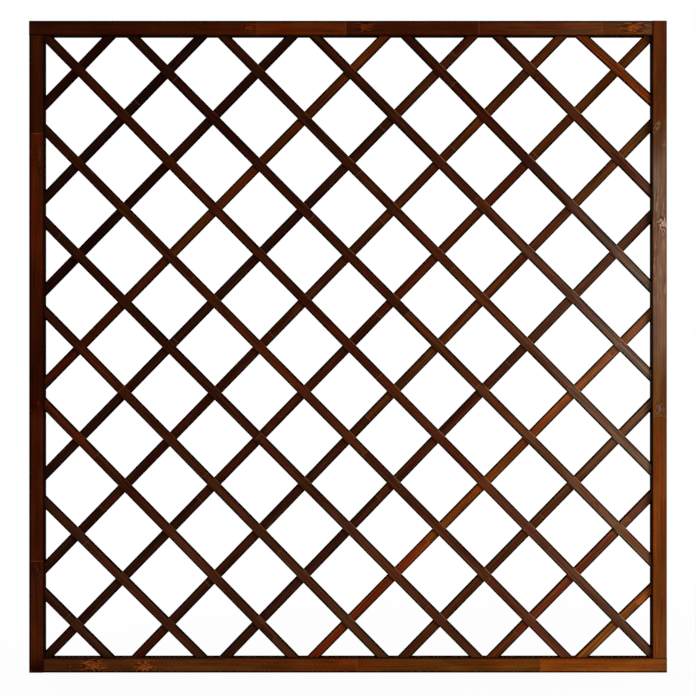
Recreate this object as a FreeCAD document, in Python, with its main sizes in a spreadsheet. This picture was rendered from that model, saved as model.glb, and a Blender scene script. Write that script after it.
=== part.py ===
import FreeCAD, Part
import math
import os
import Sketcher

# Framed diamond trellis panel for a garden. X runs along the width, Y from the
# front face to the back face, Z up. The origin is the middle of the bottom edge.

# Driving sizes in millimetres and degrees.
SIZES = {
    # the frame and its four square timbers
    "panel_width": 1800,
    "panel_height": 1840,
    "member_width": 42,
    "member_depth": 42,
    "arris_radius": 4,
    "groove_depth": 11,
    # the laths, two layers deep, in the groove
    "lath_width": 28,
    "lath_thickness": 8,
    "lath_chamfer": 1.5,
    "lath_side_clearance": 0.3,
    "lath_end_clearance": 1,
    "corner_lath_span": 189,
    # the stub tenons that sit in the neighbour's groove
    "tenon_side_clearance": 0.3,
    "tenon_end_clearance": 1,
    # the wire staples at the crossings
    "staple_crown": 11,
    "staple_wire": 1.2,
    "staple_point": 1,
    "staple_cover": 2,
    # the corner screws
    "screw_bite": 38,
    "screw_diameter": 4.5,
    "screw_head_width": 8.6,
    "screw_point": 7,
    "screw_side_clearance": 0.25,
    "screw_tip_clearance": 2,
    "head_recess": 0.5,
    "countersink_angle": 90,
}

# Sizes that follow from the driving ones.
DERIVED = {
    "opening_width": "panel_width - 2 * member_width",
    "opening_height": "panel_height - 2 * member_width",
    "rail_run": "panel_width - member_width",
    "stile_run": "panel_height - member_width",
    "groove_width": "2 * lath_thickness + 2 * lath_side_clearance",
    "tenon_thickness": "groove_width - 2 * tenon_side_clearance",
    "tenon_width": "member_width - groove_depth",
    "tenon_length": "groove_depth - tenon_end_clearance",
    "rail_reach": "rail_run + tenon_length",
    "stile_reach": "stile_run + tenon_length",
    "seat_depth": "groove_depth - lath_end_clearance",
    "seat_width": "opening_width + 2 * seat_depth",
    "seat_height": "opening_height + 2 * seat_depth",
    "lath_blank_length": "sqrt(seat_width ^ 2 + seat_height ^ 2)",
    "staple_leg": "2 * lath_thickness - staple_cover",
    "staple_inner_crown": "staple_crown - 2 * staple_wire",
    "half_member_width": "member_width / 2",
    "bore_diameter": "screw_diameter + 2 * screw_side_clearance",
    "sink_width": "screw_head_width + 2 * head_recess * tan(countersink_angle / 2)",
    "pilot_depth": "tenon_length + screw_bite + screw_tip_clearance",
    "screw_length": "member_width + screw_bite - head_recess",
    "screw_radius": "screw_diameter / 2",
    "screw_head_radius": "screw_head_width / 2",
    "screw_head_height": "(screw_head_radius - screw_radius) / tan(countersink_angle / 2)",
}

# The frame's timbers: name, kind, the corner where the end that runs past lies
# (sideways, up) and the quarter turns it is laid at.
MEMBERS = (
    ("bottom_rail", "rail", 1, 0, 0),
    ("left_stile", "stile", -1, 0, 1),
    ("top_rail", "rail", -1, 1, 2),
    ("right_stile", "stile", 1, 1, 3),
)

# Laths are laid by hand and few lie quite true. There is one entry for each lath of a
# layer, counted from the middle lath: the drift of its middle to the right and how much
# further right its lower end lies than its upper end, as shares of the pitch along the rail.
FRONT_STRAY_SHARES = {
    -6: (-0.04, 0.02),
    -5: (-0.025, 0.055),
    -4: (0.015, 0.005),
    -3: (0.015, 0.005),
    -2: (0.025, 0.075),
    -1: (0.02, 0.065),
    0: (0.025, 0.025),
    1: (0.01, 0.07),
    2: (0.01, 0.045),
    3: (0.03, 0.05),
    4: (0.02, -0.005),
    5: (0.045, 0.01),
    6: (0.01, 0.08),
}
REAR_STRAY_SHARES = {
    -6: (-0.02, 0.01),
    -5: (0, 0.015),
    -4: (0.005, 0.005),
    -3: (0.03, -0.015),
    -2: (0.01, 0.005),
    -1: (0.015, 0.03),
    0: (0, 0.03),
    1: (-0.005, 0.07),
    2: (-0.02, 0.06),
    3: (0, -0.02),
    4: (-0.005, 0.005),
    5: (-0.01, -0.01),
    6: (-0.01, -0.04),
}

doc = FreeCAD.newDocument("trellis_panel")
sheet = doc.addObject("Spreadsheet::Sheet", "Sizes")


def fill_sheet():
    """Write one row for each size: its name, and its value under that alias."""
    rows = [(name, str(value)) for name, value in SIZES.items()]
    rows += [(name, "=" + formula) for name, formula in DERIVED.items()]
    for number, (name, content) in enumerate(rows, start=1):
        sheet.set("A%d" % number, name)
        sheet.set("B%d" % number, content)
        sheet.setAlias("B%d" % number, name)
    doc.recompute()


def size(name):
    """Read a size from the sheet as a plain number."""
    return float(sheet.get(name))


def bind(thing, prop, name):
    """Tie one property of an object to a size in the sheet."""
    thing.setExpression(prop, "Sizes." + name)


def add_sketch(body, label, plane_role):
    """Add a sketch on one of the body's own origin planes."""
    sketch = body.newObject("Sketcher::SketchObject", label)
    plane = [item for item in body.Origin.OriginFeatures if item.Role == plane_role][0]
    sketch.AttachmentSupport = [(plane, "")]
    sketch.MapMode = "FlatFace"
    return sketch


def draw_outline(sketch, corners, centred=()):
    """Draw a closed outline whose level and upright sides stay so.

    The sides listed in centred are level and centred on the upright axis.
    """
    count = len(corners)
    for side in range(count):
        here = FreeCAD.Vector(*corners[side])
        there = FreeCAD.Vector(*corners[(side + 1) % count])
        sketch.addGeometry(Part.LineSegment(here, there))
        if side in centred:
            sketch.addConstraint(Sketcher.Constraint("Symmetric", side, 1, side, 2, -2))
        elif math.isclose(here.y, there.y):
            sketch.addConstraint(Sketcher.Constraint("Horizontal", side))
        elif math.isclose(here.x, there.x):
            sketch.addConstraint(Sketcher.Constraint("Vertical", side))
    for side in range(count):
        following = (side + 1) % count
        sketch.addConstraint(Sketcher.Constraint("Coincident", side, 2, following, 1))


def dimension(sketch, kind, places, name):
    """Add a dimension to a sketch and tie it to a size in the sheet."""
    index = sketch.addConstraint(Sketcher.Constraint(kind, *places, size(name)))
    sketch.renameConstraint(index, name)
    bind(sketch, "Constraints." + name, name)


def add_pad(body, label, sketch, length):
    """Extrude a sketch of the body along its normal."""
    pad = body.newObject("PartDesign::Pad", label)
    pad.Profile = sketch
    bind(pad, "Length", length)
    return pad


def draw_section(sketch):
    """Square section with the groove for the laths in its inner edge (upper side)."""
    depth = size("member_depth") / 2
    width = size("member_width")
    groove = size("groove_width") / 2
    floor = size("tenon_width")
    draw_outline(sketch, [
        (-depth, 0), (depth, 0), (depth, width), (groove, width),
        (groove, floor), (-groove, floor), (-groove, width), (-depth, width),
    ], centred=(0, 4))
    sketch.addConstraint(Sketcher.Constraint("PointOnObject", 0, 1, -1))
    sketch.addConstraint(Sketcher.Constraint("Horizontal", 2, 2, 6, 2))
    dimension(sketch, "DistanceX", (0, 1, 0, 2), "member_depth")
    dimension(sketch, "DistanceY", (1, 1, 1, 2), "member_width")
    dimension(sketch, "DistanceX", (4, 2, 4, 1), "groove_width")
    dimension(sketch, "DistanceY", (3, 2, 3, 1), "groove_depth")


def draw_tenon(sketch):
    """Section of the stub tenon, flush with the outer face, as wide as the groove leaves."""
    side = size("tenon_thickness") / 2
    width = size("tenon_width")
    corners = [(-side, 0), (side, 0), (side, width), (-side, width)]
    draw_outline(sketch, corners, centred=(0,))
    sketch.addConstraint(Sketcher.Constraint("PointOnObject", 0, 1, -1))
    dimension(sketch, "DistanceX", (0, 1, 0, 2), "tenon_thickness")
    dimension(sketch, "DistanceY", (1, 1, 1, 2), "tenon_width")


def draw_bore(sketch, diameter, crosswise):
    """Circle halfway across the neighbouring timber, in the middle of the thickness.

    The sketch's first axis runs across the neighbouring timber where crosswise is
    true, and its second axis where it is false.
    """
    middle = size("half_member_width")
    centre = FreeCAD.Vector(middle, 0, 0) if crosswise else FreeCAD.Vector(0, middle, 0)
    normal = FreeCAD.Vector(0, 0, 1)
    sketch.addGeometry(Part.Circle(centre, normal, size(diameter) / 2))
    axis = -1 if crosswise else -2
    kind = "DistanceX" if crosswise else "DistanceY"
    sketch.addConstraint(Sketcher.Constraint("PointOnObject", 0, 3, axis))
    dimension(sketch, kind, (-1, 1, 0, 3), "half_member_width")
    dimension(sketch, "Diameter", (0,), diameter)


def long_edges(shape, run):
    """Names of the outer long edges of a timber, the ones that get a rounded arris."""
    half_depth = size("member_depth") / 2
    names = []
    for number, edge in enumerate(shape.Edges, start=1):
        is_long = math.isclose(edge.BoundBox.XLength, run)
        if is_long and math.isclose(abs(edge.BoundBox.Center.y), half_depth):
            names.append("Edge%d" % number)
    return names


def add_member(name, kind, sideways, up, quarter_turns):
    """One frame timber: grooved, rounded, tenoned at one end and bored for its screw.

    It runs along its own X from the end that runs past the corner. Its outer face is
    at zero height and its groove opens upwards.
    """
    run = kind + "_run"
    body = doc.addObject("PartDesign::Body", name)
    section = add_sketch(body, name + "_section", "YZ_Plane")
    draw_section(section)
    blank = add_pad(body, name + "_blank", section, run)
    doc.recompute()
    arrises = body.newObject("PartDesign::Fillet", name + "_arrises")
    arrises.Base = (blank, long_edges(blank.Shape, size(run)))
    bind(arrises, "Radius", "arris_radius")
    tenon_section = add_sketch(body, name + "_tenon_section", "YZ_Plane")
    bind(tenon_section, "AttachmentOffset.Base.z", run)
    draw_tenon(tenon_section)
    add_pad(body, name + "_tenon", tenon_section, "tenon_length")
    doc.recompute()
    bore_circle = add_sketch(body, name + "_bore_circle", "XY_Plane")
    draw_bore(bore_circle, "bore_diameter", True)
    bore = body.newObject("PartDesign::Hole", name + "_bore")
    bore.Profile = bore_circle
    bore.Reversed = True
    bore.DepthType = "ThroughAll"
    bore.HoleCutType = "Countersink"
    bore.HoleCutCustomValues = True
    bind(bore, "Diameter", "bore_diameter")
    bind(bore, "HoleCutDiameter", "sink_width")
    bind(bore, "HoleCutCountersinkAngle", "countersink_angle")
    pilot_circle = add_sketch(body, name + "_pilot_circle", "YZ_Plane")
    bind(pilot_circle, "AttachmentOffset.Base.z", kind + "_reach")
    draw_bore(pilot_circle, "screw_diameter", False)
    pilot = body.newObject("PartDesign::Pocket", name + "_pilot")
    pilot.Profile = pilot_circle
    bind(pilot, "Length", "pilot_depth")
    turn = FreeCAD.Rotation(FreeCAD.Vector(0, 1, 0), 90 * quarter_turns)
    face_inwards = FreeCAD.Rotation(FreeCAD.Vector(0, 0, 1), 180)
    body.Placement = FreeCAD.Placement(FreeCAD.Vector(), turn.multiply(face_inwards))
    body.setExpression("Placement.Base.x", "%d * Sizes.panel_width / 2" % sideways)
    body.setExpression("Placement.Base.z", "%d * Sizes.panel_height" % up)
    doc.recompute()
    return body


def draw_screw(sketch):
    """Half outline of a countersunk wood screw, from its axis outwards."""
    shank = size("screw_radius")
    head = size("screw_head_radius")
    length = size("screw_length")
    draw_outline(sketch, [
        (0, 0), (head, 0), (shank, size("screw_head_height")),
        (shank, length - size("screw_point")), (0, length),
    ])
    sketch.addConstraint(Sketcher.Constraint("Coincident", 0, 1, -1, 1))
    dimension(sketch, "DistanceX", (0, 1, 0, 2), "screw_head_radius")
    dimension(sketch, "DistanceX", (-1, 1, 1, 2), "screw_radius")
    dimension(sketch, "DistanceY", (-1, 1, 1, 2), "screw_head_height")
    dimension(sketch, "DistanceY", (4, 2, 4, 1), "screw_length")
    dimension(sketch, "DistanceY", (3, 1, 3, 2), "screw_point")


def add_screw():
    """One corner screw, with its head at the origin and its point along +Z."""
    body = doc.addObject("PartDesign::Body", "screw")
    outline = add_sketch(body, "screw_outline", "XZ_Plane")
    draw_screw(outline)
    turned = body.newObject("PartDesign::Revolution", "screw_turned")
    turned.Profile = outline
    turned.ReferenceAxis = (outline, ["V_Axis"])
    turned.Angle = 360
    doc.recompute()
    return body


def draw_staple(sketch):
    """Staple outline: crown along X on the lath's back face, legs towards the front."""
    outer = size("staple_crown") / 2
    inner = size("staple_inner_crown") / 2
    wire = size("staple_wire")
    leg = size("staple_leg")
    blunt = leg - size("staple_point")
    draw_outline(sketch, [
        (-outer, wire), (outer, wire), (outer, -leg), (inner, -blunt),
        (inner, 0), (-inner, 0), (-inner, -blunt), (-outer, -leg),
    ], centred=(0, 4))
    sketch.addConstraint(Sketcher.Constraint("Horizontal", 1, 2, 6, 2))
    sketch.addConstraint(Sketcher.Constraint("Horizontal", 2, 2, 6, 1))
    sketch.addConstraint(Sketcher.Constraint("PointOnObject", 4, 1, -1))
    dimension(sketch, "DistanceX", (0, 1, 0, 2), "staple_crown")
    dimension(sketch, "DistanceX", (4, 2, 4, 1), "staple_inner_crown")
    dimension(sketch, "DistanceY", (-1, 1, 0, 1), "staple_wire")
    dimension(sketch, "DistanceY", (1, 2, -1, 1), "staple_leg")
    dimension(sketch, "DistanceY", (1, 2, 3, 1), "staple_point")


def add_staple():
    """One wire staple."""
    body = doc.addObject("PartDesign::Body", "staple")
    outline = add_sketch(body, "staple_outline", "XY_Plane")
    draw_staple(outline)
    bent = add_pad(body, "staple_bent", outline, "staple_wire")
    bent.Midplane = True
    doc.recompute()
    return body


def add_group(name, pattern, places):
    """A group of separate copies of one fastener, one at each place."""
    group = doc.addObject("Part::Feature", name)
    copies = []
    for place in places:
        copy = pattern.Shape.copy()
        copy.Placement = place.multiply(copy.Placement)
        copies.append(copy)
    group.Shape = Part.makeCompound(copies)
    return group


def screw_places(members):
    """A screw enters at each timber's past-running end, its head under the outer face."""
    entry = FreeCAD.Placement()
    entry.Base = FreeCAD.Vector(size("half_member_width"), 0, size("head_recess"))
    return [member.Placement.multiply(entry) for member in members]


def rail_pitch():
    """Distance between neighbouring laths of one layer, measured along the rail.

    The middle lath runs from corner to corner, and the outermost ones cut off the
    corners.
    """
    outermost = max(FRONT_STRAY_SHARES)
    return (size("opening_width") - size("corner_lath_span")) / outermost


def lath_lines(stray_shares, leaning):
    """Centre lines of one layer of laths, from left to right.

    leaning is 1 where the laths run down to the right and -1 where they run down to
    the left. Each line is the lath's middle and its direction downwards.
    """
    width = size("opening_width")
    height = size("opening_height")
    pitch = rail_pitch()
    lines = []
    for index, (drift_share, lean_share) in stray_shares.items():
        middle = FreeCAD.Vector(
            (index / 2 + drift_share) * pitch,
            0,
            size("panel_height") / 2 + leaning * index / 2 * pitch * height / width,
        )
        span = width - abs(index) * pitch
        down = FreeCAD.Vector(
            leaning * span + lean_share * pitch,
            0,
            -span * height / width,
        )
        lines.append((middle, down.normalize()))
    return lines


def crossing_point(front, rear):
    """Where the centre lines of a front and a rear lath cross."""
    front_middle, front_down = front
    rear_middle, rear_down = rear
    between = rear_middle.sub(front_middle)
    turn = front_down.cross(rear_down).y
    reach = between.cross(rear_down).y / turn
    return front_middle.add(front_down.multiply(reach))


def staple_places(front_lines, rear_lines):
    """A staple at each crossing inside the frame, its crown on the rear lath's back.

    The places are filed under the numbers of the front and the rear lath.
    """
    across = size("opening_width") / 2 - size("lath_width")
    up = size("opening_height") / 2 - size("lath_width")
    places = {}
    for front_number, front in enumerate(front_lines):
        for rear_number, rear in enumerate(rear_lines):
            spot = crossing_point(front, rear)
            if abs(spot.x) < across and abs(spot.z - size("panel_height") / 2) < up:
                spot.y = size("lath_thickness")
                place = FreeCAD.Placement(spot, FreeCAD.Rotation())
                places[front_number, rear_number] = place
    return places


def add_seat():
    """The space that laths may fill: the frame's opening and part of its groove."""
    seat = doc.addObject("Part::Box", "lath_seat")
    bind(seat, "Length", "seat_width")
    bind(seat, "Width", "member_depth")
    bind(seat, "Height", "seat_height")
    seat.setExpression("Placement.Base.x", "-Sizes.seat_width / 2")
    seat.setExpression("Placement.Base.y", "-Sizes.member_depth / 2")
    seat.setExpression("Placement.Base.z", "Sizes.member_width - Sizes.seat_depth")
    doc.recompute()
    return seat


def add_lath(name, line, back_side, seat, staples):
    """One lath: a strip laid along its line, its edges eased, cut to the seat, stapled.

    The layers meet at zero depth: a lath lies behind that where back_side is 1 and
    before it where back_side is 0.
    """
    middle, down = line
    strip = doc.addObject("Part::Box", name + "_strip")
    bind(strip, "Length", "lath_blank_length")
    bind(strip, "Width", "lath_thickness")
    bind(strip, "Height", "lath_width")
    start = FreeCAD.Vector(
        -size("lath_blank_length") / 2,
        -size("lath_thickness") * (1 - back_side),
        -size("lath_width") / 2,
    )
    laid = FreeCAD.Placement(middle, FreeCAD.Rotation(FreeCAD.Vector(1, 0, 0), down))
    strip.Placement = laid.multiply(FreeCAD.Placement(start, FreeCAD.Rotation()))
    strip.recompute()
    eased = doc.addObject("Part::Chamfer", name + "_eased")
    eased.Base = strip
    chamfer = size("lath_chamfer")
    eased.Edges = [
        (number, chamfer, chamfer)
        for number, edge in enumerate(strip.Shape.Edges, start=1)
        if math.isclose(edge.Length, size("lath_blank_length"))
    ]
    trimmed = doc.addObject("Part::Common", name + "_trimmed")
    trimmed.Base = eased
    trimmed.Tool = seat
    lath = doc.addObject("Part::Cut", name)
    lath.Base = trimmed
    lath.Tool = staples
    return lath


def check_document(subparts):
    """Stop where a feature has failed or a sub-part is not a valid solid."""
    for thing in doc.Objects:
        if "Invalid" in thing.State or "Error" in thing.State:
            raise RuntimeError("failed feature: " + thing.Name)
    for subpart in subparts:
        if subpart.Shape.isNull() or not subpart.Shape.isValid() or not subpart.Shape.Solids:
            raise RuntimeError("bad shape: " + subpart.Label)


def build():
    """Make every sub-part and write one file for each."""
    fill_sheet()
    members = [add_member(*member) for member in MEMBERS]
    screws = add_group("corner_screws", add_screw(), screw_places(members))
    lines = (lath_lines(FRONT_STRAY_SHARES, 1), lath_lines(REAR_STRAY_SHARES, -1))
    places = staple_places(*lines)
    staple = add_staple()
    staples = add_group("crossing_staples", staple, places.values())
    seat = add_seat()
    laths = []
    for layer, side in (("front", 0), ("rear", 1)):
        for number, line in enumerate(lines[side]):
            name = "%s_lath_%02d" % (layer, number + 1)
            own = [place for key, place in places.items() if key[side] == number]
            own_staples = add_group(name + "_staples", staple, own)
            laths.append(add_lath(name, line, side, seat, own_staples))
    doc.recompute()
    subparts = members + laths + [staples, screws]
    check_document(subparts)
    os.makedirs("parts", exist_ok=True)
    for subpart in subparts:
        subpart.Shape.exportStep("parts/%s.step" % subpart.Label)
        print(subpart.Label, len(subpart.Shape.Solids), round(subpart.Shape.Volume))


build()
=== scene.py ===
import math
import random
from dataclasses import dataclass

import bmesh
import bpy
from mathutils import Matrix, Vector, noise


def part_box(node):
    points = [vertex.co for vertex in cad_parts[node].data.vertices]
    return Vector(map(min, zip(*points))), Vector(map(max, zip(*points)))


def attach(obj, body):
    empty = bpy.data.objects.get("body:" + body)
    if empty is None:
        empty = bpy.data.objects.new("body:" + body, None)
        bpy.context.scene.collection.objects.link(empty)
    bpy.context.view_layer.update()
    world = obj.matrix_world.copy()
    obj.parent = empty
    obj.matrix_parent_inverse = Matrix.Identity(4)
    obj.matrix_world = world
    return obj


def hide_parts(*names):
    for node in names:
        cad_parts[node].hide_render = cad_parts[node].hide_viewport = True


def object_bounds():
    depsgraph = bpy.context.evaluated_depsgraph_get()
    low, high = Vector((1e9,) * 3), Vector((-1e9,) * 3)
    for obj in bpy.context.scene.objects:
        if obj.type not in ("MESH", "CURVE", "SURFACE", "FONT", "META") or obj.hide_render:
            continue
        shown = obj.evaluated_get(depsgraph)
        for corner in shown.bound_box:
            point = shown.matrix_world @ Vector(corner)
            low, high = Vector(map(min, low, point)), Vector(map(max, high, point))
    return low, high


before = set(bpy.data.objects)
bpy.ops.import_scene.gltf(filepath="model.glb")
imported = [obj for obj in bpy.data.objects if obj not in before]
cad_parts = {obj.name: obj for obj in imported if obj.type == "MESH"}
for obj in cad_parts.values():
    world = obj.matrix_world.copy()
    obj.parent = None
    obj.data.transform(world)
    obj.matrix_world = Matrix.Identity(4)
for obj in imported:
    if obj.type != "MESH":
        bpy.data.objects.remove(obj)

cad_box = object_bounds()
random.seed(11)

# Framed diamond trellis panel of stained softwood, standing on its bottom rail. X runs
# along the width, Y from the front to the back, Z up. Sizes are in metres.

MM = 0.001

# The frame's timbers
MEMBER_WIDTH = 42 * MM
ARRIS_RADIUS = 4 * MM
ARRIS_STEPS = 5
FACE_STEPS = 14
GROOVE_WIDTH = 16.6 * MM
GROOVE_DEPTH = 11 * MM
END_EASING = 0.9 * MM
END_RIM = 2 * MM
TENON_LENGTH = 10 * MM
TENON_THICKNESS = 16 * MM
TENON_GAP = 0.05 * MM
MEMBER_STEP = 8 * MM
MEMBER_WAVE = 0.2 * MM

# The laths
LATH_EDGE_RADIUS = 1.4 * MM
LATH_SIDE_STEPS = 4
LATH_STEP = 12 * MM
LATH_WAVE = 0.22 * MM
LATH_SIDE_WAVE = 0.3 * MM

# How dark edges are painted, as shade: the frame's, the right stile's (less, as it faces the
# light), the frame's inner side and laths at crossings. Sawn ends are a little darker. At the
# back the painted shade is less dark.
FRAME_EDGE, RIGHT_STILE_EDGE, INNER_EDGE, END_EDGE, CROSSING_EDGE = 0.9, 0.4, 0.8, 0.1, 0.3
BACK_SHARE = 0.6

# Where a crossing's change to the painted edge shade begins to fade and has gone, from the
# other lath's edge
CROSSING_REACH = -2 * MM, 3 * MM

# Finger joints, where boards are glued end to end. Each has five sections, with their
# place and their depth in the groove.
FINGER_LENGTH = 9 * MM
JOINT_GROOVE = 0.35 * MM
JOINT_LIP = 1.3 * MM
JOINT_ROOM = 10 * MM
JOINT_SECTIONS = (
    (-JOINT_LIP, 0), (-JOINT_GROOVE, 0.4), (0, 1), (JOINT_GROOVE, 0.4), (JOINT_LIP, 0),
)

# The corner screws' bores, each in a square window of the face's own steps
SCREW_AXIS = 21 * MM
BORE_RADIUS = 2.5 * MM
SINK_RADIUS = 4.8 * MM
BORE_RIM = 0.25 * MM
BORE_SHOWN = 12 * MM
BORE_STEP = (MEMBER_WIDTH - 2 * ARRIS_RADIUS) / FACE_STEPS
WINDOW_REACH = 3

# The corner screws
SCREW_LENGTH = 78 * MM
SCREW_RECESS = 0.5 * MM
SCREW_HEAD_RADIUS = 4.3 * MM
SCREW_HEAD_RIM = 0.4 * MM
SCREW_RADIUS = 2.25 * MM
SCREW_CORE = 0.8 * SCREW_RADIUS
SCREW_POINT = 7 * MM
SCREW_SEGMENTS = 36
THREAD_START = 16 * MM
THREAD_PITCH = 2.4 * MM
THREAD_HEIGHT = 0.25
DRIVE_DEPTH = 1.9 * MM
DRIVE_RADIUS, DRIVE_LOBE = 1.75 * MM, 0.4 * MM

# The staples
WIRE = 1.2 * MM
WIRE_BEND = 1.5 * MM
WIRE_SEGMENTS = 8
BEND_STEPS = 4


def srgb(*values):
    """A screen's eight-bit colour as linear light."""
    return tuple(
        share / 12.92 if share <= 0.04045 else ((share + 0.055) / 1.055) ** 2.4
        for share in (value / 255 for value in values)
    )


# Tones of the laths' stain
TONES = {
    "soot": (49, 24, 15), "dark": (65, 28, 11), "maroon": (74, 28, 7), "brown": (82, 38, 14),
    "olive": (84, 44, 12), "russet": (98, 40, 9), "straw": (98, 52, 14),
    "orange": (112, 54, 12), "ember": (120, 48, 9), "amber": (134, 72, 18),
}

# Where the colour is dimmed, green and blue dim more than red, as under a thick coat of stain.
# Painted shade makes the laths darkest at the upper left, lighter to the right and, by the
# slant's share of that, downwards.
STAIN_DIMS = 1, 1.35, 1.6
SHADE_DARKEST, SHADE_RANGE, SHADE_SLANT = 0.43, 0.63, 0.6

# A pale film, partly left by sun and rain and partly painted sheen, most by the right stile
# at mid-height
BLEACH_AND_SHEEN = 0.043, 0.036, 0.026
PALE_X, PALE_Z = 0.9, 1.02
PALE_ASIDE, PALE_ABOVE, PALE_BELOW = 0.3, 0.3, 0.7
PALE_STRENGTH = 2.2
PALE_LEAST, PALE_LOW_DOWN = 0.05, 0.18
REAR_SHARE = 0.42
PALE_COVER = 0.24

# Tints of the stain, from patch to patch
REDDENED = 1.12, 0.78, 0.68
MADDER = 1.2, 0.72, 0.62
UMBER = 0.84, 1.04, 0.8

# Tints of a knot's red wood, of the pale lines around it and of a dead knot's patch
HEART = 1.12, 0.88, 0.6
CURL = 1.12, 0.94, 0.7
DEAD = 0.72, 1.45, 4.2

PORE = srgb(120, 34, 14)
SCUFFED = srgb(204, 168, 148)
BARE_DARK, BARE_PALE = srgb(112, 74, 50), srgb(178, 138, 112)
KNOT_RING = srgb(26, 10, 5)
# The painted highlight along a finger joint's lips, and the joint's dark line
JOINT_LIT, JOINT_DARK = srgb(176, 110, 66), srgb(30, 12, 6)
# Colour of the painted highlight on a front lath's upper arris where laths cross
ARRIS_LIT = srgb(168, 122, 84)
TARNISH = srgb(104, 98, 90)

# Scales of the wood's noises, along the grain, across it and into the panel
STREAKS = 2.2, 250, 250
FIBRES = 30, 1500, 1500
PORES = 55, 900, 900
PATCHES = 7, 30, 30
WARMTH = 4, 60, 60
TINTS = 24, 80, 80
WAVER = 3.5, 20, 20
RAGGED = 130, 260, 60
KNOT_FIGURE = 20, 75, 60
WORN_STREAKS = 16, 230, 230
WORN_FIGURE = 30, 90, 60


def smooth(low, high, value):
    """0 below low, 1 above high, and an even curve between."""
    share = min(1, max(0, (value - low) / (high - low)))
    return share * share * (3 - 2 * share)


def stretch(rise, fall, value):
    """1 between a rise and a fall, each given by its ends."""
    return smooth(*rise, value) * (1 - smooth(*fall, value))


def graded(tones, share):
    """The tone at a share of the way along a row of tones."""
    place = share * (len(tones) - 1)
    number = min(int(place), len(tones) - 2)
    return tuple(a + (b - a) * (place - number) for a, b in zip(*tones[number:number + 2]))


def stronger(colour, factor):
    """A colour with all its parts raised alike."""
    return tuple(factor * part for part in colour)


def ripple(place, wavelength, seed):
    """Smooth noise from -1 to 1 along a line."""
    return noise.noise(Vector((place / wavelength, seed * 7.31, seed * 3.17)))


def hollow(place, wavelength, seed):
    """Smooth noise from 0 to 1 along a line."""
    return 0.5 + 0.5 * ripple(place, wavelength, seed)


def span(points):
    """Lowest and highest corners around some points."""
    return [
        Vector([pick(point[axis] for point in points) for axis in range(3)])
        for pick in (min, max)
    ]


# Stain and weather


def stile_darkening(place):
    """How much darker the left stile is made, at its foot and below its middle."""
    foot = 1 - smooth(0.012, 0.05, place.z)
    return 0.6 * foot + 0.42 * stretch((0.72, 0.75), (0.93, 1.06), place.z)


def lath_painted_shade(place):
    """How much painted shade dims a place on the laths."""
    low, high = cad_box
    aside = (place.x - low[0]) / (high[0] - low[0])
    down = (high[2] - place.z) / (high[2] - low[2])
    return 1 - SHADE_DARKEST - SHADE_RANGE * (aside + SHADE_SLANT * down) / (1 + SHADE_SLANT)


def bleach_and_sheen(place):
    """The share of pale film and painted sheen at a place on the laths."""
    aside = (place.x - PALE_X) / PALE_ASIDE
    above = place.z - PALE_Z
    upright = above / (PALE_ABOVE if above > 0 else PALE_BELOW)
    spread = PALE_STRENGTH * math.exp(-aside * aside - upright * upright)
    low_down = 1 - smooth(0.1, 0.95, place.z)
    return spread + PALE_LEAST + PALE_LOW_DOWN * low_down


def nowhere(*place):
    """No film and no sheen, no wear, no darkening."""
    return 0


def lath_film_and_sheen(share):
    """The pale film and painted sheen on a layer of laths, by the share that reaches them."""
    return lambda timber, a: share * bleach_and_sheen(timber.place(a, 0, 0))


def spot(a, c, along, across, length, width):
    """A round-edged spot on a face, 1 in its middle."""
    return math.exp(-((a - along) / length) ** 2 - ((c - across) / width) ** 2)


def weathered(a, c, d):
    """The right stile has lost stain above its middle, and in scuffed spots."""
    pale = 0.75 * stretch((0.36, 0.5), (0.78, 0.95), a)
    pale += 0.3 * stretch((0.8, 0.95), (1.0, 1.15), a)
    if d > 0:
        return 0.5 * pale
    scuffs = spot(a, c, 0.297, 0.025, 0.012, 0.008)
    scuffs += 0.6 * spot(a, c, 0.31, 0.036, 0.014, 0.006)
    scuffs += 0.9 * spot(a, c, 0.349, 0.008, 0.009, 0.005)
    scuffs += spot(a, c, 0.575, 0.013, 0.018, 0.014)
    return -scuffs if scuffs > 0.3 * pale + 0.1 else pale


def grazed(a, c, d):
    """The left stile has a thin pale graze below its upper joint."""
    return -0.4 * spot(a, c, 1.46, 0.031, 0.045, 0.005) if d < 0 else 0


# Materials


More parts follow.
